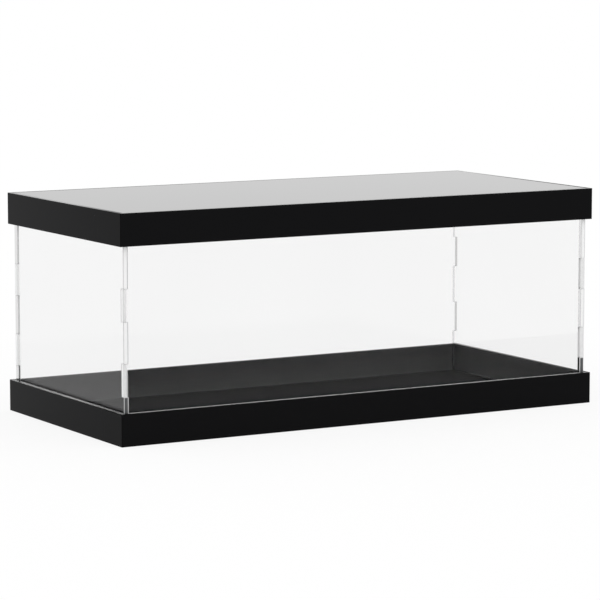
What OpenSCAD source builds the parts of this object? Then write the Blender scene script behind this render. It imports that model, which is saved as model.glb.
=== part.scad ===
// Clear display case with a black tray for its base and a second tray, turned over, for its lid.
// The origin is the centre of the underside, +X runs along the length and the front faces -Y.

/* [Case] */
// Outside length of the case, along X
case_length = 340; // [200:5:600]
// Outside width of the case, along Y
case_width = 160; // [100:5:400]
// Outside height of the case, from its underside to the top of the lid
case_height = 140; // [110:5:400]

/* [Base tray] */
// Height of the rails round the base
base_rail_height = 20; // [12:1:30]
// Thickness of the floor plate
floor_thickness = 2; // [1.5:0.5:5]

/* [Lid tray] */
// Height of the rails round the lid
lid_rail_height = 20; // [12:1:30]
// Thickness of the top plate
top_thickness = 2; // [1.5:0.5:5]

/* [Rails] */
// Thickness of the black sheet that the rails are cut from
rail_thickness = 3; // [2:0.5:6]
// Width of the flat that eases each outer edge of a rail
edge_ease = 0.25; // [0.1:0.05:0.5]

/* [Panels] */
// Thickness of the clear sheet
panel_thickness = 3; // [2:0.5:6]
// Gap between a panel and the rail outside it
tray_clearance = 0.15; // [0.1:0.05:0.5]

/* [Finger joints] */
// Height of a finger of the long panels
finger_height = 20; // [10:1:25]
// Distance from one finger up to the next
finger_pitch = 45; // [35:1:60]
// Height of the lowest finger above the rails of the base
finger_start = 9.5; // [5:0.5:20]
// Gap between the fingers of two panels
finger_clearance = 0.1; // [0.05:0.05:0.3]

/* [Hidden] */

black = "#17181a";
clear = [0.86, 0.91, 0.93, 0.4];

// Space inside the rails, which the floor plate and the top plate fill
tray_inner_length = case_length - 2 * rail_thickness;
tray_inner_width = case_width - 2 * rail_thickness;

// Outline of the four panels, and the planes that they stand between
walls_length = tray_inner_length - 2 * tray_clearance;
walls_width = tray_inner_width - 2 * tray_clearance;
walls_bottom = floor_thickness;
walls_top = case_height - top_thickness;
walls_height = walls_top - walls_bottom;

// What a finger passes through: one sheet and the gap beside it
notch_depth = panel_thickness + finger_clearance;
notch_height = finger_height + 2 * finger_clearance;

// Heights of the undersides of the fingers, for as many as fit in the window between the trays
first_finger = base_rail_height + finger_start;
last_finger = case_height - lid_rail_height - finger_height;
finger_heights = [for (z = [first_finger : finger_pitch : last_finger]) z];

// A rail of a given length and height, with mitred ends. It runs along X with its outer face on
// y = 0 and its rim at the top, and its outer edges and the corners of its case are eased.
module rail(length, height) {
    half = length / 2;
    inner_half = half - rail_thickness;
    tip = half - edge_ease / 2;
    intersection() {
        translate([-half, 0, 0])
            rotate([90, 0, 90])
                linear_extrude(length)
                    polygon([
                        [edge_ease, 0], [rail_thickness, 0], [rail_thickness, height],
                        [edge_ease, height], [0, height - edge_ease], [0, edge_ease]
                    ]);
        linear_extrude(height)
            polygon([
                [-half + edge_ease, 0], [half - edge_ease, 0], [tip, edge_ease / 2],
                [inner_half, rail_thickness], [-inner_half, rail_thickness], [-tip, edge_ease / 2]
            ]);
    }
}

// Places a rail on one side of the case: 0 is the front, 90 the right, 180 the back, 270 the left
module on_side(angle) {
    distance = angle % 180 == 0 ? case_width / 2 : case_length / 2;
    rotate([0, 0, angle])
        translate([0, -distance, 0])
            children();
}

module base_long_rail(angle) {
    color(black)
        on_side(angle)
            rail(case_length, base_rail_height);
}

module base_short_rail(angle) {
    color(black)
        on_side(angle)
            rail(case_width, base_rail_height);
}

// The lid is a tray turned over, so its rails hang from the top plane
module lid_long_rail(angle) {
    color(black)
        translate([0, 0, case_height - lid_rail_height])
            on_side(angle)
                rail(case_length, lid_rail_height);
}

module lid_short_rail(angle) {
    color(black)
        translate([0, 0, case_height - lid_rail_height])
            on_side(angle)
                rail(case_width, lid_rail_height);
}

module base_front_rail() base_long_rail(0);
module base_right_rail() base_short_rail(90);
module base_back_rail() base_long_rail(180);
module base_left_rail() base_short_rail(270);

module lid_front_rail() lid_long_rail(0);
module lid_right_rail() lid_short_rail(90);
module lid_back_rail() lid_long_rail(180);
module lid_left_rail() lid_short_rail(270);

// A plate that fills the space inside four rails
module tray_plate(thickness) {
    color(black)
        translate([-tray_inner_length / 2, -tray_inner_width / 2, 0])
            cube([tray_inner_length, tray_inner_width, thickness]);
}

module base_plate() tray_plate(floor_thickness);

module lid_plate() {
    translate([0, 0, walls_top])
        tray_plate(top_thickness);
}

// A long panel lies between the two short ones, and its fingers reach out through their notches
module long_panel() {
    body_length = walls_length - 2 * notch_depth;
    color(clear)
        translate([0, -walls_width / 2, 0]) {
            translate([-body_length / 2, 0, walls_bottom])
                cube([body_length, panel_thickness, walls_height]);
            for (z = finger_heights)
                translate([-walls_length / 2, 0, z])
                    cube([walls_length, panel_thickness, finger_height]);
        }
}

// A short panel runs the full width of the walls and is notched round the long panels' fingers
module short_panel() {
    color(clear)
        difference() {
            translate([-walls_length / 2, -walls_width / 2, walls_bottom])
                cube([panel_thickness, walls_width, walls_height]);
            for (end = [-1, 1], z = finger_heights)
                translate([-walls_length / 2, end * walls_width / 2, z + finger_height / 2])
                    cube([2 * notch_depth, 2 * notch_depth, notch_height], center = true);
        }
}

module front_panel() long_panel();
module back_panel() rotate([0, 0, 180]) long_panel();
module left_panel() short_panel();
module right_panel() rotate([0, 0, 180]) short_panel();

base_plate();
base_front_rail();
base_back_rail();
base_left_rail();
base_right_rail();
front_panel();
back_panel();
left_panel();
right_panel();
lid_plate();
lid_front_rail();
lid_back_rail();
lid_left_rail();
lid_right_rail();
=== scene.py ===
"""A display case: a black base tray, four clear panels that interlock, and a black lid tray."""

import math

import bpy
from mathutils import Matrix, Vector


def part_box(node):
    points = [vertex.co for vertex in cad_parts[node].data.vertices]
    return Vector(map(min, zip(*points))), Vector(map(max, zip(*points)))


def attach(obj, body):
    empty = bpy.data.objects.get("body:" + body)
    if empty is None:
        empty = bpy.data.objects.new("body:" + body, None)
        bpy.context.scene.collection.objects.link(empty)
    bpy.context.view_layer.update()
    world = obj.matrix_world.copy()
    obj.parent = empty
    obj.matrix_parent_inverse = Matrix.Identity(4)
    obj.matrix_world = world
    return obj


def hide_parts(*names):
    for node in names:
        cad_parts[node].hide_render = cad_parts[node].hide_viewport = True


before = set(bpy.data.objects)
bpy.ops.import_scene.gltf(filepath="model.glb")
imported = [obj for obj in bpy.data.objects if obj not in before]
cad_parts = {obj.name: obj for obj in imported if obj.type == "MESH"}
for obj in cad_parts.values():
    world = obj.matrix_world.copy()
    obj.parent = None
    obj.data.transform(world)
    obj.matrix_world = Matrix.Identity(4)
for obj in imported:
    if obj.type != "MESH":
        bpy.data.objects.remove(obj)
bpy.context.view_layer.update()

MM = 0.001


# ---- The rails of the base tray ------------------------------------------------------------
# Four strips stand round the floor plate, mitred at the corners and cemented. They are cast
# black acrylic, 3 mm sheet, sawn to width, with the broken edges and the rim polished by hand.

RAIL_EDGE = 0.25 * MM      # radius of the outer edges of a rail
RIM_EDGE = 0.12 * MM       # radius of the inner edge of the rim
SEAM_EDGE = 0.04 * MM      # radius where a rail meets a plate, which leaves a hairline
EDGE_STEPS = 3             # points on each rounded edge
LEVEL = 0.9                # a face whose normal is at least this near an axis lies square to it
ACRYLIC_IOR = 1.49
SATIN_SHEEN = 0.025        # share of a bare sheet's mirror that the satin face keeps
RIM_SHEEN = 0.085          # and that the sawn and polished rim keeps
HAND_MARKS = 71.43 * MM    # size of the faint patches where a sheet was handled
STREAK_WIDTH = 2.857 * MM  # of the streaks in the painted light on the inner face of a rail
STREAK_LENGTH = 28.57 * MM
STREAK_SHARE = 0.25        # of the painted light on an inner face, that is uneven, and the rest grows toward the plate
SAW_MARKS = 1.111 * MM     # apart on the rim
SAW_DEPTH = 0.02 * MM
MID_HEIGHT = 70 * MM       # half the height of the case, from which both trays measure alike
RIM_REACH = 50 * MM        # from there to the rims
PLATE_REACH = 68 * MM      # and to the plates


def colour(code):
    """An sRGB hex colour, such as #202224, as the linear RGBA that a shader takes."""
    parts = [int(code[i:i + 2], 16) / 255 for i in (1, 3, 5)]
    linear = [c / 12.92 if c <= 0.04045 else ((c + 0.055) / 1.055) ** 2.4 for c in parts]
    return (*linear, 1.0)


def add(tree, kind, inputs=(), **settings):
    """Adds a node with these settings to a tree. Each input is set to its value, or is linked to
    it where the value is a socket of another node."""
    made = tree.nodes.new(kind)
    for name, value in settings.items():
        setattr(made, name, value)
    for name, value in dict(inputs).items():
        if isinstance(value, bpy.types.NodeSocket):
            tree.links.new(value, made.inputs[name])
        else:
            made.inputs[name].default_value = value
    return made


def new_material(name):
    """A new node material, and its tree with nothing in it."""
    material = bpy.data.materials.new(name)
    material.use_nodes = True
    material.node_tree.nodes.clear()
    return material, material.node_tree


def satin_black_acrylic():
    """Cast PMMA with a satin face: no mirror image, near black seen straight on, and a soft dark
    grey at a low angle, a little uneven where it was handled."""
    material, tree = new_material("black_cast_acrylic_satin_face")
    place = add(tree, "ShaderNodeTexCoord").outputs["Object"]
    marks = add(tree, "ShaderNodeTexNoise", {
        "Vector": place, "Scale": 1 / HAND_MARKS, "Detail": 3.0,
    })
    roughness = add(tree, "ShaderNodeMapRange", {
        "Value": marks.outputs["Fac"], "To Min": 0.05, "To Max": 0.1,
    })
    shader = add(tree, "ShaderNodeBsdfPrincipled", {
        "Base Color": colour("#121213"), "IOR": ACRYLIC_IOR,
        "Specular IOR Level": SATIN_SHEEN, "Roughness": roughness.outputs["Result"],
    })
    add(tree, "ShaderNodeOutputMaterial", {"Surface": shader.outputs["BSDF"]})
    return material


def rubbed_black_acrylic():
    """The same face on the inner side of a rail, painted a dull dark grey as painted light for the
    light inside the tray, most of all beside the plate, in faint streaks a few millimetres wide
    across the rail."""
    material, tree = new_material("black_acrylic_inner_face_painted_light")
    place = add(tree, "ShaderNodeTexCoord").outputs["Object"]
    stretched = add(tree, "ShaderNodeMapping", {
        "Vector": place, "Scale": (1.0, 1.0, STREAK_WIDTH / STREAK_LENGTH),
    })
    streaks = add(tree, "ShaderNodeTexNoise", {
        "Vector": stretched.outputs["Vector"], "Scale": 1 / STREAK_WIDTH, "Detail": 2.0,
    })
    height = add(tree, "ShaderNodeSeparateXYZ", {0: place}).outputs["Z"]
    above = add(tree, "ShaderNodeMath", {0: height, 1: MID_HEIGHT}, operation="SUBTRACT")
    reach = add(tree, "ShaderNodeMath", {0: above.outputs[0]}, operation="ABSOLUTE")
    depth = add(tree, "ShaderNodeMapRange", {
        "Value": reach.outputs[0], "From Min": RIM_REACH, "From Max": PLATE_REACH,
        "To Max": 1 - STREAK_SHARE,
    }, interpolation_type="SMOOTHSTEP")
    painted_lightness = add(tree, "ShaderNodeMath", {
        0: streaks.outputs["Fac"], 1: STREAK_SHARE, 2: depth.outputs["Result"],
    }, operation="MULTIPLY_ADD")
    # Painted light: the grey stands for the light inside the tray, paler toward the plate.
    grey = add(tree, "ShaderNodeValToRGB", {"Fac": painted_lightness.outputs[0]})
    grey.color_ramp.elements[0].color = colour("#3c3c3d")
    grey.color_ramp.elements[1].color = colour("#707071")
    shader = add(tree, "ShaderNodeBsdfPrincipled", {
        "Base Color": grey.outputs["Color"], "IOR": ACRYLIC_IOR, "Roughness": 0.5,
    })
    add(tree, "ShaderNodeOutputMaterial", {"Surface": shader.outputs["BSDF"]})
    return material


def black_cut_edge():
    """The sawn and hand-polished edge of the same sheet: it still shines, but the marks of the
    saw spread the reflection. They are drawn a millimetre apart, coarser than real, to show."""
    material, tree = new_material("black_acrylic_cut_edge")
    place = add(tree, "ShaderNodeTexCoord").outputs["Object"]
    marks = add(tree, "ShaderNodeTexNoise", {
        "Vector": place, "Scale": 1 / SAW_MARKS, "Detail": 2.0,
    })
    bump = add(tree, "ShaderNodeBump", {
        "Height": marks.outputs["Fac"], "Strength": 0.15, "Distance": SAW_DEPTH,
    })
    shader = add(tree, "ShaderNodeBsdfPrincipled", {
        "Base Color": colour("#101011"), "IOR": ACRYLIC_IOR, "Specular IOR Level": RIM_SHEEN,
        "Roughness": 0.16, "Normal": bump.outputs["Normal"],
    })
    add(tree, "ShaderNodeOutputMaterial", {"Surface": shader.outputs["BSDF"]})
    return material


satin_face = satin_black_acrylic()
inner_painted_light_face = rubbed_black_acrylic()
black_edge = black_cut_edge()


def new_group(name, inputs):
    """A geometry tree with these named inputs, and the sockets that give their values."""
    group = bpy.data.node_groups.new(name, "GeometryNodeTree")
    for label, kind in inputs.items():
        group.interface.new_socket(label, in_out="INPUT", socket_type=kind)
    group.interface.new_socket("Geometry", in_out="OUTPUT", socket_type="NodeSocketGeometry")
    return group, group.nodes.new("NodeGroupInput").outputs


def finished_piece(holder, name, edge):
    """The holder's shape as a plain mesh at the origin, with its edges rounded if edge is over 0.
    The flat faces keep their own normals, so that only the rounded edges catch the light."""
    if edge:
        bevel = holder.modifiers.new("edges", "BEVEL")
        bevel.width = edge
        bevel.segments = 2
        bevel.limit_method = "ANGLE"
    flat = holder.modifiers.new("flat_faces", "WEIGHTED_NORMAL")
    flat.weight = 100
    bpy.context.view_layer.update()
    shaped = holder.evaluated_get(bpy.context.evaluated_depsgraph_get())
    mesh = bpy.data.meshes.new_from_object(shaped)
    bpy.data.objects.remove(holder)
    used = {face.material_index for face in mesh.polygons}
    for slot in reversed(range(len(mesh.materials))):
        if slot not in used:
            mesh.materials.pop(index=slot)
    piece = bpy.data.objects.new(name, mesh)
    bpy.context.scene.collection.objects.link(piece)
    return piece


def made_mesh(name, group, values, edge=0.0):
    """The mesh that a geometry tree makes from these values, as a new object at the origin."""
    holder = bpy.data.objects.new(name + "_holder", bpy.data.meshes.new(name))
    bpy.context.scene.collection.objects.link(holder)
    modifier = holder.modifiers.new("shape", "NODES")
    modifier.node_group = group
    for item in group.interface.items_tree:
        if item.in_out == "INPUT" and item.name in values:
            modifier[item.identifier] = values[item.name]
    return finished_piece(holder, name, edge)


def stand_on_side(tree, shape, turn, distance, lift):
    """Moves a shape made along X, with its outer face on y = 0, out to its side of the case."""
    out = add(tree, "ShaderNodeMath", {0: distance, 1: -1.0}, operation="MULTIPLY")
    offset = add(tree, "ShaderNodeCombineXYZ", {"Y": out.outputs[0], "Z": lift})
    moved = add(tree, "GeometryNodeTransform", {
        "Geometry": shape, "Translation": offset.outputs[0],
    })
    angle = add(tree, "ShaderNodeCombineXYZ", {"Z": turn})
    turned = add(tree, "GeometryNodeTransform", {
        "Geometry": moved.outputs[0], "Rotation": angle.outputs[0],
    })
    return turned.outputs[0]


def at_home(tree, kind, turn):
    """The normal or position of each face before its piece was turned out to its side."""
    back = add(tree, "ShaderNodeMath", {0: turn, 1: -1.0}, operation="MULTIPLY")
    turned_back = add(tree, "ShaderNodeVectorRotate", {
        "Vector": add(tree, kind).outputs[0], "Angle": back.outputs[0],
    }, rotation_type="Z_AXIS")
    return add(tree, "ShaderNodeSeparateXYZ", {0: turned_back.outputs[0]}).outputs


def rail_group():
    """A rail: its section, with each edge rounded, is swept along X and both ends are mitred. The
    sharp tip of a mitre is cut off by half the radius of the outer edges."""
    tree, given = new_group("mitred_rail", {
        "Length": "NodeSocketFloat", "Height": "NodeSocketFloat", "Thickness": "NodeSocketFloat",
        "Outer Edge": "NodeSocketFloat", "Lower Inner Edge": "NodeSocketFloat",
        "Upper Inner Edge": "NodeSocketFloat", "Rim Side": "NodeSocketFloat",
        "Turn": "NodeSocketFloat", "Distance": "NodeSocketFloat", "Lift": "NodeSocketFloat",
    })
    corners = [
        add(tree, "ShaderNodeCombineXYZ", {"X": 0.0, "Y": 0.0}),
        add(tree, "ShaderNodeCombineXYZ", {"X": given["Thickness"], "Y": 0.0}),
        add(tree, "ShaderNodeCombineXYZ", {"X": given["Thickness"], "Y": given["Height"]}),
        add(tree, "ShaderNodeCombineXYZ", {"X": 0.0, "Y": given["Height"]}),
    ]
    section = add(tree, "GeometryNodeCurvePrimitiveQuadrilateral", {
        f"Point {i + 1}": corner.outputs[0] for i, corner in enumerate(corners)
    }, mode="POINTS")
    radius = add(tree, "GeometryNodeIndexSwitch", data_type="FLOAT")
    while len(radius.index_switch_items) < len(corners):
        radius.index_switch_items.new()
    tree.links.new(add(tree, "GeometryNodeInputIndex").outputs[0], radius.inputs["Index"])
    for i, edge in enumerate(("Outer Edge", "Lower Inner Edge", "Upper Inner Edge", "Outer Edge")):
        tree.links.new(given[edge], radius.inputs[str(i)])
    rounded = add(tree, "GeometryNodeFilletCurve", {
        "Curve": section.outputs[0], "Count": EDGE_STEPS, "Radius": radius.outputs[0],
    }, mode="POLY")
    half = add(tree, "ShaderNodeMath", {0: given["Length"], 1: 0.5}, operation="MULTIPLY")
    other = add(tree, "ShaderNodeMath", {0: half.outputs[0], 1: -1.0}, operation="MULTIPLY")
    start = add(tree, "ShaderNodeCombineXYZ", {"X": other.outputs[0]})
    end = add(tree, "ShaderNodeCombineXYZ", {"X": half.outputs[0]})
    path = add(tree, "GeometryNodeCurvePrimitiveLine", {
        "Start": start.outputs[0], "End": end.outputs[0],
    })
    hanging = add(tree, "GeometryNodeCurveToMesh", {
        "Curve": path.outputs[0], "Profile Curve": rounded.outputs[0], "Fill Caps": True,
    })
    swept = add(tree, "GeometryNodeTransform", {
        "Geometry": hanging.outputs[0], "Rotation": (math.pi, 0.0, 0.0),
    })
    point = add(tree, "GeometryNodeInputPosition")
    place = add(tree, "ShaderNodeSeparateXYZ", {0: point.outputs[0]})
    eased = add(tree, "ShaderNodeMath", {0: given["Outer Edge"], 1: place.outputs["Y"]},
                operation="SUBTRACT")
    cut = add(tree, "ShaderNodeMath", {0: place.outputs["Y"], 1: eased.outputs[0]},
              operation="MAXIMUM")
    reach = add(tree, "ShaderNodeMath", {0: half.outputs[0], 1: cut.outputs[0]},
                operation="SUBTRACT")
    side = add(tree, "ShaderNodeMath", {0: place.outputs["X"]}, operation="SIGN")
    along = add(tree, "ShaderNodeMath", {0: reach.outputs[0], 1: side.outputs[0]},
                operation="MULTIPLY")
    spot = add(tree, "ShaderNodeCombineXYZ", {
        "X": along.outputs[0], "Y": place.outputs["Y"], "Z": place.outputs["Z"],
    })
    mitred = add(tree, "GeometryNodeSetPosition", {
        "Geometry": swept.outputs[0], "Position": spot.outputs[0],
    })
    facing = at_home(tree, "GeometryNodeInputNormal", given["Turn"])
    inside = add(tree, "FunctionNodeCompare", {0: facing["Y"], 1: LEVEL}, operation="GREATER_THAN")
    toward_rim = add(tree, "ShaderNodeMath", {0: facing["Z"], 1: given["Rim Side"]},
                     operation="MULTIPLY")
    on_rim = add(tree, "FunctionNodeCompare", {0: toward_rim.outputs[0], 1: LEVEL},
                 operation="GREATER_THAN")
    whole = add(tree, "GeometryNodeRealizeInstances", {0: stand_on_side(
        tree, mitred.outputs[0], given["Turn"], given["Distance"], given["Lift"],
    )})
    smooth = add(tree, "GeometryNodeSetShadeSmooth", {"Geometry": whole.outputs[0]})
    sheet = add(tree, "GeometryNodeSetMaterial", {
        "Geometry": smooth.outputs[0], "Material": satin_face,
    })
    # The inner faces of the rails take the painted light.
    inner_painted_light = add(tree, "GeometryNodeSetMaterial", {
        "Geometry": sheet.outputs[0], "Selection": inside.outputs[0], "Material": inner_painted_light_face,
    })
    rim = add(tree, "GeometryNodeSetMaterial", {
        "Geometry": inner_painted_light.outputs[0], "Selection": on_rim.outputs[0], "Material": black_edge,
    })
    add(tree, "NodeGroupOutput", {"Geometry": rim.outputs[0]})
    return tree


rail_shape = rail_group()
QUARTER = math.pi / 2
SIDES = {"front": 0, "right": 1, "back": 2, "left": 3}    # quarter turns from the front


def side_sizes(node, side):
    """A standing piece's length along its side, its thickness, the distance of its outer face
    from the middle of the case, and the height of its foot and its own, from the CAD solid."""
    low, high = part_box(node)
    size = high - low
    across = 1 if SIDES[side] % 2 == 0 else 0
    distance = max(abs(low[across]), abs(high[across]))
    return size[1 - across], size[across], distance, low.z, size.z


def make_rail(tray, side, rim_side, body):
    """One rail of a tray, in place of its CAD solid. It is made longer by what the tips of its
    two mitres lose, and so ends where the solid does. The side of its rim is 1 up or -1 down."""
    node = f"{tray}_{side}_rail"
    length, thickness, distance, foot, height = side_sizes(node, side)
    rail = made_mesh(f"{tray}_{side}_rail_polished", rail_shape, {
        "Length": length + RAIL_EDGE, "Height": height, "Thickness": thickness,
        "Outer Edge": RAIL_EDGE,
        "Lower Inner Edge": SEAM_EDGE if rim_side > 0 else RIM_EDGE,
        "Upper Inner Edge": RIM_EDGE if rim_side > 0 else SEAM_EDGE,
        "Rim Side": float(rim_side), "Turn": SIDES[side] * QUARTER,
        "Distance": distance, "Lift": foot,
    })
    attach(rail, body)
    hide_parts(node)


for rail_side in SIDES:
    make_rail("base", rail_side, 1, "base")


# ---- The floor plate of the base tray ------------------------------------------------------
# A 2 mm black sheet that fills the space inside the four rails and is cemented to them, flush
# with their lower edges. What is on show stands on its upper face, which has no shine and is
# painted a charcoal grey as painted sheen.

def dull_black_acrylic():
    """Cast PMMA with its matt face up and no shine, painted a charcoal grey as painted sheen, a
    shade lighter here and there where things have stood on it."""
    material, tree = new_material("black_acrylic_plate_painted_sheen")
    place = add(tree, "ShaderNodeTexCoord").outputs["Object"]
    patches = add(tree, "ShaderNodeTexNoise", {
        "Vector": place, "Scale": 1 / HAND_MARKS, "Detail": 3.0,
    })
    # Painted sheen: a charcoal grey in place of the shine of the sheet.
    painted_sheen = add(tree, "ShaderNodeValToRGB", {"Fac": patches.outputs["Fac"]})
    painted_sheen.color_ramp.elements[0].color = colour("#2f2f30")
    painted_sheen.color_ramp.elements[1].color = colour("#373738")
    shader = add(tree, "ShaderNodeBsdfPrincipled", {
        "Base Color": painted_sheen.outputs["Color"], "IOR": ACRYLIC_IOR,
        "Specular IOR Level": 0.0, "Roughness": 0.6,
    })
    add(tree, "ShaderNodeOutputMaterial", {"Surface": shader.outputs["BSDF"]})
    return material


plate_painted_sheen_face = dull_black_acrylic()


def make_plate(tray, body, face):
    """The plate of a tray, in place of its CAD solid: a sheet of this material, with a hairline
    broken off each edge."""
    node = f"{tray}_plate"
    low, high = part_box(node)
    mesh = bpy.data.meshes.new(node)
    corners = [
        (x, y, z) for x in (low.x, high.x) for y in (low.y, high.y) for z in (low.z, high.z)
    ]
    faces = [
        (0, 1, 3, 2), (4, 6, 7, 5), (0, 4, 5, 1), (2, 3, 7, 6), (0, 2, 6, 4), (1, 5, 7, 3),
    ]
    mesh.from_pydata(corners, [], faces)
    mesh.shade_smooth()
    mesh.materials.append(face)
    holder = bpy.data.objects.new(node + "_holder", mesh)
    bpy.context.scene.collection.objects.link(holder)
    plate = finished_piece(holder, node + "_sheet", SEAM_EDGE)
    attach(plate, body)
    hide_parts(node)


make_plate("base", "base", plate_painted_sheen_face)


# ---- The clear panels ----------------------------------------------------------------------
# Four sheets of clear cast acrylic, 3 mm thick, laser-cut. The long ones have fingers at each
# end, the short ones have notches round them, and the panels stand in the tray with no glue.

PANEL_EDGE = 0.1 * MM      # the flat that the laser leaves along each edge of a sheet
PANEL_FLOAT = 0.05 * MM    # air left under and over a panel, which only rests on the plate
FINGER_HEIGHT = 20 * MM
FINGER_PITCH = 45 * MM     # from the foot of a finger to the foot of the next
FIRST_FINGER = 29.5 * MM   # height of the lowest finger's foot above the table
FINGER_COUNT = 2           # at each end of a long panel
FINGER_GAP = 0.1 * MM      # air round a finger in its notch
FINGER_ROOT = 163.75 * MM  # from the middle of a long panel to where its fingers begin
CLEAR_IOR = 1.2            # under acrylic's own, so that panels in a row stay as clear as real
CAST_SWELLS = 90.91 * MM   # size of the thicker and thinner places in a cast sheet
LASER_LINES = MM / 3       # apart on a cut edge
LASER_DEPTH = 0.01 * MM
TRAY_RIM = 20 * MM         # height of the base tray, which hides the cut edges below it
RIM_FADE = 7 * MM          # height over which the painted shade on an edge turns pale again below the rim
FINGER_FADE = 0.5 * MM     # height over which the painted shade turns pale just under the lowest finger
BORDER_SHARE = 0.2         # of a cut edge's width, that each painted line along it fades over
CLEAR_FROM_WITHIN = 0.78   # share of the light inside a sheet that its cut edge throws back
FINGER_LIGHT_LEAST = 0.6            # share of a finger's face that the painted light covers, from here
FINGER_LIGHT_MOST = 0.8           # to here
FINGER_LIGHT_PATCHES = 3.333 * MM  # size of its thinner and thicker places
FINGER_LIGHT_ONSET = 1.0 * MM       # length of a left finger, from its root, over which the painted light sets in
FINGER_LIGHT_RIGHT_EXTRA = 0.15          # how much more of a right finger's face the painted light covers


def clear_cast_acrylic():
    """Clear PMMA as cast: no bubbles, a surface as smooth as glass, and so faint a grey that it
    shows only through two sheets. A cast sheet is a little thicker in one place than in the next,
    and its grey is as uneven."""
    material, tree = new_material("clear_cast_acrylic")
    place = add(tree, "ShaderNodeTexCoord").outputs["Object"]
    swells = add(tree, "ShaderNodeTexNoise", {
        "Vector": place, "Scale": 1 / CAST_SWELLS, "Detail": 1.0,
    })
    tint = add(tree, "ShaderNodeValToRGB", {"Fac": swells.outputs["Fac"]})
    tint.color_ramp.elements[0].color = colour("#f9f9f9")
    tint.color_ramp.elements[1].color = colour("#fbfbfb")
    shader = add(tree, "ShaderNodeBsdfPrincipled", {
        "Base Color": tint.outputs["Color"], "IOR": CLEAR_IOR, "Roughness": 0.0,
        "Transmission Weight": 1.0,
    })
    add(tree, "ShaderNodeOutputMaterial", {"Surface": shader.outputs["BSDF"]})
    return material


def clear_cut_edge():
    """The laser leaves a frost of fine lines straight through the sheet, a third of a millimetre
    apart, which gathers the light that runs inside the sheet and shows as a bright edge, with a
    grey line painted as painted shade where each side of the sheet begins. Seen from within, the
    frost has scattered a part of the light out of the sheet, and the cut reflects the rest like
    glass. From the first finger down to the rim of the tray the edge is painted dark as painted
    shade, for the light from the black rails that runs in the sheet, between two lines painted pale
    as painted light. Below the rim, where the tray hides it, it is painted pale again."""
    material, tree = new_material("clear_acrylic_frosted_edge_painted_shade")
    place = add(tree, "ShaderNodeTexCoord").outputs["Object"]
    lines = add(tree, "ShaderNodeTexNoise", {
        "Vector": place, "Scale": 1 / LASER_LINES, "Detail": 1.0,
    })
    bump = add(tree, "ShaderNodeBump", {
        "Height": lines.outputs["Fac"], "Strength": 0.2, "Distance": LASER_DEPTH,
    })
    height = add(tree, "ShaderNodeSeparateXYZ", {0: place}).outputs["Z"]
    over = add(tree, "ShaderNodeMapRange", {
        "Value": height, "From Min": FIRST_FINGER - FINGER_FADE, "From Max": FIRST_FINGER,
    })
    under = add(tree, "ShaderNodeMapRange", {
        "Value": height, "From Min": TRAY_RIM, "From Max": TRAY_RIM - RIM_FADE,
    }, interpolation_type="SMOOTHSTEP")
    lit = add(tree, "ShaderNodeMath", {
        0: over.outputs["Result"], 1: under.outputs["Result"],
    }, operation="MAXIMUM")
    # Painted shade: the edge is painted dark grey from the lowest finger down to the rim of the
    # tray, and the lines along it are painted pale there and grey elsewhere.
    face = add(tree, "ShaderNodeValToRGB", {"Fac": lit.outputs[0]})
    face.color_ramp.elements[0].color = colour("#5c5d5e")
    face.color_ramp.elements[1].color = colour("#ffffff")
    line = add(tree, "ShaderNodeValToRGB", {"Fac": lit.outputs[0]})
    line.color_ramp.elements[0].color = colour("#ffffff")
    line.color_ramp.elements[1].color = colour("#b0b1b1")
    across = add(tree, "ShaderNodeAttribute", attribute_name="across").outputs["Fac"]
    off_middle = add(tree, "ShaderNodeMath", {0: across, 1: 0.5}, operation="SUBTRACT")
    outward = add(tree, "ShaderNodeMath", {0: off_middle.outputs[0]}, operation="ABSOLUTE")
    border = add(tree, "ShaderNodeMapRange", {
        "Value": outward.outputs[0], "From Min": 0.5 - BORDER_SHARE, "From Max": 0.5,
    }, interpolation_type="SMOOTHSTEP")
    shade = add(tree, "ShaderNodeMix", {       # its colour sockets are 6, 7 and, going out, 2
        0: border.outputs["Result"], 6: face.outputs["Color"], 7: line.outputs["Color"],
    }, data_type="RGBA")
    backfacing = add(tree, "ShaderNodeNewGeometry").outputs["Backfacing"]
    scatter = add(tree, "ShaderNodeMix", {
        0: backfacing, 6: shade.outputs[2], 7: colour("#000000"),
    }, data_type="RGBA")
    shader = add(tree, "ShaderNodeBsdfPrincipled", {
        "Base Color": scatter.outputs[2], "IOR": ACRYLIC_IOR, "Roughness": 0.35,
        "Specular IOR Level": 0.1, "Normal": bump.outputs["Normal"],
    })
    within = add(tree, "ShaderNodeBsdfPrincipled", {
        "Base Color": colour("#ffffff"), "IOR": CLEAR_IOR, "Roughness": 0.0,
        "Transmission Weight": 1.0,
    })
    from_within = add(tree, "ShaderNodeMath", {0: backfacing, 1: CLEAR_FROM_WITHIN},
                      operation="MULTIPLY")
    both = add(tree, "ShaderNodeMixShader", {
        0: from_within.outputs[0], 1: shader.outputs["BSDF"], 2: within.outputs["BSDF"],
    })
    add(tree, "ShaderNodeOutputMaterial", {"Surface": both.outputs[0]})
    return material


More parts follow.
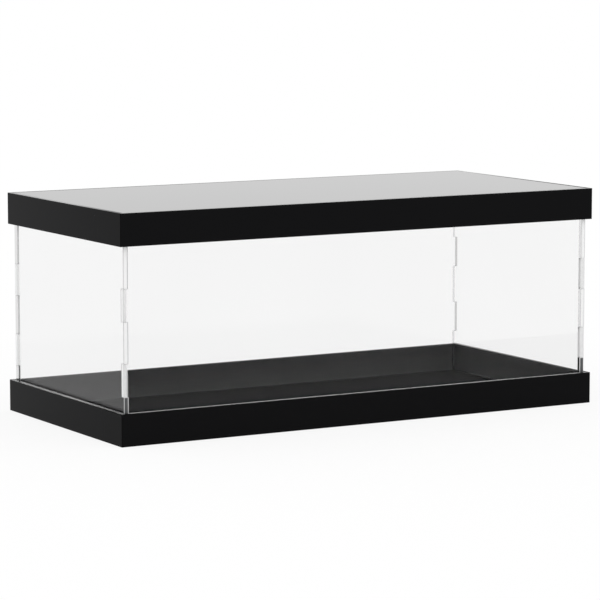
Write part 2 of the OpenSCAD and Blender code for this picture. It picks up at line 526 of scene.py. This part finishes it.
def hazed_clear_acrylic():
    """The sheet on the outer face of a finger, with painted light: a thin white layer over it that
    brightens the finger, uneven over a few millimetres, and not seen from inside the sheet. It is
    more on the right-hand fingers, and on the left it sets in softly at the finger's root."""
    material, tree = new_material("clear_acrylic_finger_painted_light")
    place = add(tree, "ShaderNodeTexCoord").outputs["Object"]
    light_patches = add(tree, "ShaderNodeTexNoise", {
        "Vector": place, "Scale": 1 / FINGER_LIGHT_PATCHES, "Detail": 2.0,
    })
    cover = add(tree, "ShaderNodeMapRange", {
        "Value": light_patches.outputs["Fac"], "To Min": FINGER_LIGHT_LEAST, "To Max": FINGER_LIGHT_MOST,
    })
    from_outside = add(tree, "ShaderNodeMath", {
        0: 1.0, 1: add(tree, "ShaderNodeNewGeometry").outputs["Backfacing"],
    }, operation="SUBTRACT")
    along = add(tree, "ShaderNodeSeparateXYZ", {0: place}).outputs["X"]
    past_left_root = add(tree, "ShaderNodeMapRange", {
        "Value": along, "From Min": -FINGER_ROOT, "From Max": -FINGER_ROOT - FINGER_LIGHT_ONSET,
    })
    on_right = add(tree, "ShaderNodeMath", {0: along, 1: 0.0}, operation="GREATER_THAN")
    onset = add(tree, "ShaderNodeMath", {
        0: past_left_root.outputs["Result"], 1: on_right.outputs[0],
    }, operation="MAXIMUM")
    right_light = add(tree, "ShaderNodeMath", {
        0: on_right.outputs[0], 1: FINGER_LIGHT_RIGHT_EXTRA, 2: cover.outputs["Result"],
    }, operation="MULTIPLY_ADD")
    placed_light = add(tree, "ShaderNodeMath", {0: right_light.outputs[0], 1: onset.outputs[0]},
                  operation="MULTIPLY")
    # The painted light: a share of white over the clear sheet, seen from outside only.
    haze = add(tree, "ShaderNodeMath", {0: placed_light.outputs[0], 1: from_outside.outputs[0]},
               operation="MULTIPLY")
    clear = add(tree, "ShaderNodeBsdfPrincipled", {
        "Base Color": colour("#fafafa"), "IOR": CLEAR_IOR, "Roughness": 0.0,
        "Transmission Weight": 1.0,
    })
    white = add(tree, "ShaderNodeBsdfPrincipled", {
        "Base Color": colour("#f8f8f8"), "IOR": ACRYLIC_IOR, "Specular IOR Level": 0.1,
        "Roughness": 0.6,
    })
    both = add(tree, "ShaderNodeMixShader", {
        0: haze.outputs[0], 1: clear.outputs["BSDF"], 2: white.outputs["BSDF"],
    })
    add(tree, "ShaderNodeOutputMaterial", {"Surface": both.outputs[0]})
    return material


clear_sheet = clear_cast_acrylic()
frosted_edge_painted_shade = clear_cut_edge()
finger_painted_light_sheet = hazed_clear_acrylic()


def panel_group():
    """A panel: a sheet along X, with fingers added at both ends or notches cut out of them. Each
    point keeps how far through the sheet it lies, for the painted lines along the cut edges."""
    tree, given = new_group("finger_panel", {
        "Length": "NodeSocketFloat", "Height": "NodeSocketFloat", "Thickness": "NodeSocketFloat",
        "First Finger": "NodeSocketFloat", "Finger Height": "NodeSocketFloat",
        "Pitch": "NodeSocketFloat", "Count": "NodeSocketInt", "Reach": "NodeSocketFloat",
        "Notched": "NodeSocketBool",
        "Turn": "NodeSocketFloat", "Distance": "NodeSocketFloat", "Lift": "NodeSocketFloat",
    })
    half_height = add(tree, "ShaderNodeMath", {0: given["Height"], 1: 0.5}, operation="MULTIPLY")
    half_thick = add(tree, "ShaderNodeMath", {0: given["Thickness"], 1: 0.5}, operation="MULTIPLY")
    half_length = add(tree, "ShaderNodeMath", {0: given["Length"], 1: 0.5}, operation="MULTIPLY")
    size = add(tree, "ShaderNodeCombineXYZ", {
        "X": given["Length"], "Y": given["Thickness"], "Z": given["Height"],
    })
    middle = add(tree, "ShaderNodeCombineXYZ", {
        "Y": half_thick.outputs[0], "Z": half_height.outputs[0],
    })
    sheet = add(tree, "GeometryNodeTransform", {
        "Geometry": add(tree, "GeometryNodeMeshCube", {"Size": size.outputs[0]}).outputs[0],
        "Translation": middle.outputs[0],
    })
    rise = add(tree, "ShaderNodeMath", {0: given["Finger Height"], 1: 0.5}, operation="MULTIPLY")
    first = add(tree, "ShaderNodeMath", {0: given["First Finger"], 1: rise.outputs[0]},
                operation="ADD")
    start = add(tree, "ShaderNodeCombineXYZ", {
        "X": half_length.outputs[0], "Y": half_thick.outputs[0], "Z": first.outputs[0],
    })
    step = add(tree, "ShaderNodeCombineXYZ", {"Z": given["Pitch"]})
    column = add(tree, "GeometryNodeMeshLine", {
        "Count": given["Count"], "Start Location": start.outputs[0], "Offset": step.outputs[0],
    })
    mirrored = add(tree, "GeometryNodeTransform", {
        "Geometry": column.outputs[0], "Scale": (-1.0, 1.0, 1.0),
    })
    ends = add(tree, "GeometryNodeJoinGeometry")
    tree.links.new(column.outputs[0], ends.inputs[0])
    tree.links.new(mirrored.outputs[0], ends.inputs[0])
    both_ways = add(tree, "ShaderNodeMath", {0: given["Reach"], 1: 2.0}, operation="MULTIPLY")
    through = add(tree, "ShaderNodeMath", {0: given["Thickness"], 1: 2.0}, operation="MULTIPLY")
    depth = add(tree, "GeometryNodeSwitch", {
        "Switch": given["Notched"], "False": given["Thickness"], "True": through.outputs[0],
    }, input_type="FLOAT")
    block_size = add(tree, "ShaderNodeCombineXYZ", {
        "X": both_ways.outputs[0], "Y": depth.outputs[0], "Z": given["Finger Height"],
    })
    block = add(tree, "GeometryNodeMeshCube", {"Size": block_size.outputs[0]})
    blocks = add(tree, "GeometryNodeInstanceOnPoints", {
        "Points": ends.outputs[0], "Instance": block.outputs[0],
    })
    solid_blocks = add(tree, "GeometryNodeRealizeInstances", {0: blocks.outputs[0]})
    cut = add(tree, "GeometryNodeMeshBoolean", operation="DIFFERENCE", solver="EXACT")
    tree.links.new(sheet.outputs[0], cut.inputs["Mesh 1"])
    tree.links.new(solid_blocks.outputs[0], cut.inputs["Mesh 2"])
    joined = add(tree, "GeometryNodeMeshBoolean", operation="UNION", solver="EXACT")
    tree.links.new(sheet.outputs[0], joined.inputs["Mesh 2"])
    tree.links.new(solid_blocks.outputs[0], joined.inputs["Mesh 2"])
    shape = add(tree, "GeometryNodeSwitch", {
        "Switch": given["Notched"], "False": joined.outputs[0], "True": cut.outputs[0],
    }, input_type="GEOMETRY")
    point = add(tree, "GeometryNodeInputPosition")
    spot = add(tree, "ShaderNodeSeparateXYZ", {0: point.outputs[0]})
    through_sheet = add(tree, "ShaderNodeMath", {0: spot.outputs["Y"], 1: given["Thickness"]},
                        operation="DIVIDE")
    marked = add(tree, "GeometryNodeStoreNamedAttribute", {
        "Geometry": shape.outputs[0], "Name": "across", "Value": through_sheet.outputs[0],
    }, data_type="FLOAT", domain="POINT")
    whole = add(tree, "GeometryNodeRealizeInstances", {0: stand_on_side(
        tree, marked.outputs[0], given["Turn"], given["Distance"], given["Lift"],
    )})
    smooth = add(tree, "GeometryNodeSetShadeSmooth", {"Geometry": whole.outputs[0]})
    faces = add(tree, "GeometryNodeSetMaterial", {
        "Geometry": smooth.outputs[0], "Material": clear_sheet,
    })
    facing = at_home(tree, "GeometryNodeInputNormal", given["Turn"])
    outward = add(tree, "FunctionNodeCompare", {0: facing["Y"], 1: -LEVEL}, operation="LESS_THAN")
    place = at_home(tree, "GeometryNodeInputPosition", given["Turn"])
    off_middle = add(tree, "ShaderNodeMath", {0: place["X"]}, operation="ABSOLUTE")
    beyond = add(tree, "FunctionNodeCompare", {0: off_middle.outputs[0], 1: half_length.outputs[0]},
                 operation="GREATER_THAN")
    on_finger = add(tree, "FunctionNodeBooleanMath", {0: outward.outputs[0], 1: beyond.outputs[0]},
                    operation="AND")
    # The outer faces of the fingers take the painted light.
    finger_lit = add(tree, "GeometryNodeSetMaterial", {
        "Geometry": faces.outputs[0], "Selection": on_finger.outputs[0], "Material": finger_painted_light_sheet,
    })
    sideways = add(tree, "ShaderNodeMath", {0: facing["Y"]}, operation="ABSOLUTE")
    on_edge = add(tree, "FunctionNodeCompare", {0: sideways.outputs[0], 1: 1 - LEVEL},
                  operation="LESS_THAN")
    edges = add(tree, "GeometryNodeSetMaterial", {
        "Geometry": finger_lit.outputs[0], "Selection": on_edge.outputs[0],
        "Material": frosted_edge_painted_shade,
    })
    add(tree, "NodeGroupOutput", {"Geometry": edges.outputs[0]})
    return tree


panel_shape = panel_group()


def make_panel(side, notched):
    """One clear panel, in place of its CAD solid."""
    node = f"{side}_panel"
    length, thickness, distance, foot, height = side_sizes(node, side)
    reach = thickness + FINGER_GAP
    panel = made_mesh(f"{side}_panel_clear", panel_shape, {
        "Length": length if notched else length - 2 * reach,
        "Height": height - 2 * PANEL_FLOAT, "Thickness": thickness,
        "First Finger": FIRST_FINGER - foot - PANEL_FLOAT - (FINGER_GAP if notched else 0),
        "Finger Height": FINGER_HEIGHT + (2 * FINGER_GAP if notched else 0),
        "Pitch": FINGER_PITCH, "Count": FINGER_COUNT, "Reach": reach, "Notched": notched,
        "Turn": SIDES[side] * QUARTER, "Distance": distance, "Lift": foot + PANEL_FLOAT,
    }, PANEL_EDGE)
    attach(panel, "walls")
    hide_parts(node)


for panel_side in SIDES:
    make_panel(panel_side, panel_side in ("left", "right"))


# ---- The lid tray --------------------------------------------------------------------------
# The same tray turned over: its plate lies on the tops of the panels and its rails hang round
# them, so it lifts off by hand. Its plate has the polished face of the sheet on top.

def polished_black_acrylic():
    """Cast PMMA with its face as cast: a deep black mirror, a little hazed where it was handled."""
    material, tree = new_material("black_cast_acrylic_polished_face")
    place = add(tree, "ShaderNodeTexCoord").outputs["Object"]
    haze = add(tree, "ShaderNodeTexNoise", {
        "Vector": place, "Scale": 1 / HAND_MARKS, "Detail": 3.0,
    })
    roughness = add(tree, "ShaderNodeMapRange", {
        "Value": haze.outputs["Fac"], "To Min": 0.03, "To Max": 0.06,
    })
    shader = add(tree, "ShaderNodeBsdfPrincipled", {
        "Base Color": colour("#0b0b0c"), "IOR": ACRYLIC_IOR,
        "Roughness": roughness.outputs["Result"],
    })
    add(tree, "ShaderNodeOutputMaterial", {"Surface": shader.outputs["BSDF"]})
    return material


polished_face = polished_black_acrylic()

for rail_side in SIDES:
    make_rail("lid", rail_side, -1, "lid")
make_plate("lid", "lid", polished_face)


# ---- The floor and the light ---------------------------------------------------------------
# A plain pale floor under a white sky. Seen straight, mirrored or through the clear sheet the
# floor is white with a faint shadow, and the light that it throws on the case is that of its own
# pale grey.

FLOOR_RADIUS = 30.0        # metres, which puts its rim out of sight
FLOOR_POINTS = 64          # round its rim
FLOOR_DROP = 0.1 * MM      # below the case, so that the two faces don't lie in one another
FLOOR_SHADE = 0.15         # how much of the white floor takes the shadow of the case


def floor_material():
    """White to the eye, in a mirror and through the clear sheet, with a faint shadow, as long as
    no dull surface has scattered the light in between, and a plain pale grey otherwise."""
    material, tree = new_material("pale_floor")
    path = add(tree, "ShaderNodeLightPath").outputs
    straight = add(tree, "ShaderNodeMath", {
        0: path["Is Camera Ray"], 1: path["Is Transmission Ray"],
    }, operation="MAXIMUM")
    seen = add(tree, "ShaderNodeMath", {0: straight.outputs[0], 1: path["Is Glossy Ray"]},
               operation="MAXIMUM")
    unspread = add(tree, "ShaderNodeMath", {0: path["Diffuse Depth"], 1: 0.5},
                   operation="LESS_THAN")
    direct = add(tree, "ShaderNodeMath", {0: seen.outputs[0], 1: unspread.outputs[0]},
                 operation="MULTIPLY")
    white = add(tree, "ShaderNodeEmission", {"Color": colour("#ffffff"), "Strength": 1.0})
    shaded = add(tree, "ShaderNodeBsdfDiffuse", {"Color": colour("#ffffff")})
    white_floor = add(tree, "ShaderNodeMixShader", {
        0: FLOOR_SHADE, 1: white.outputs[0], 2: shaded.outputs[0],
    })
    pale = add(tree, "ShaderNodeBsdfDiffuse", {"Color": colour("#e8e8e8")})
    both = add(tree, "ShaderNodeMixShader", {
        0: direct.outputs[0], 1: pale.outputs[0], 2: white_floor.outputs[0],
    })
    add(tree, "ShaderNodeOutputMaterial", {"Surface": both.outputs[0]})
    return material


floor_mesh = bpy.data.meshes.new("floor")
floor_mesh.from_pydata(
    [
        (FLOOR_RADIUS * math.cos(2 * math.pi * i / FLOOR_POINTS),
         FLOOR_RADIUS * math.sin(2 * math.pi * i / FLOOR_POINTS), -FLOOR_DROP)
        for i in range(FLOOR_POINTS)
    ],
    [], [list(range(FLOOR_POINTS))],
)
floor_mesh.materials.append(floor_material())
floor = bpy.data.objects.new("floor", floor_mesh)
bpy.context.scene.collection.objects.link(floor)

world = bpy.data.worlds.new("white_studio")
bpy.context.scene.world = world
world.use_nodes = True
world.node_tree.nodes.clear()
sky = add(world.node_tree, "ShaderNodeBackground", {"Color": colour("#ffffff"), "Strength": 1.0})
add(world.node_tree, "ShaderNodeOutputWorld", {"Surface": sky.outputs[0]})


# ---- The camera ----------------------------------------------------------------------------
# A long lens from the front left, a little above the case, that looks slightly down at it. It
# has no shift, so the case stays in the middle of a view from any other side.

CAMERA_PLACE = Vector((-962.4, -1669.8, 312.5)) * MM
CAMERA_TURN = math.radians(29.915)      # to the right of straight back
CAMERA_TILT = math.radians(7.195)       # down from level
CAMERA_LENS = 181.24                    # focal length in mm, for a sensor this wide:
CAMERA_SENSOR = 36.0
CAMERA_REACH = 100.0                    # metres, past the far rim of the floor

camera_data = bpy.data.cameras.new("camera")
camera_data.lens = CAMERA_LENS
camera_data.sensor_width = CAMERA_SENSOR
camera_data.clip_end = CAMERA_REACH
camera = bpy.data.objects.new("camera", camera_data)
camera.matrix_world = (
    Matrix.Translation(CAMERA_PLACE)
    @ Matrix.Rotation(-CAMERA_TURN, 4, "Z")
    @ Matrix.Rotation(QUARTER - CAMERA_TILT, 4, "X")
)
bpy.context.scene.collection.objects.link(camera)
bpy.context.scene.camera = camera
bpy.context.scene.view_settings.view_transform = "Standard"
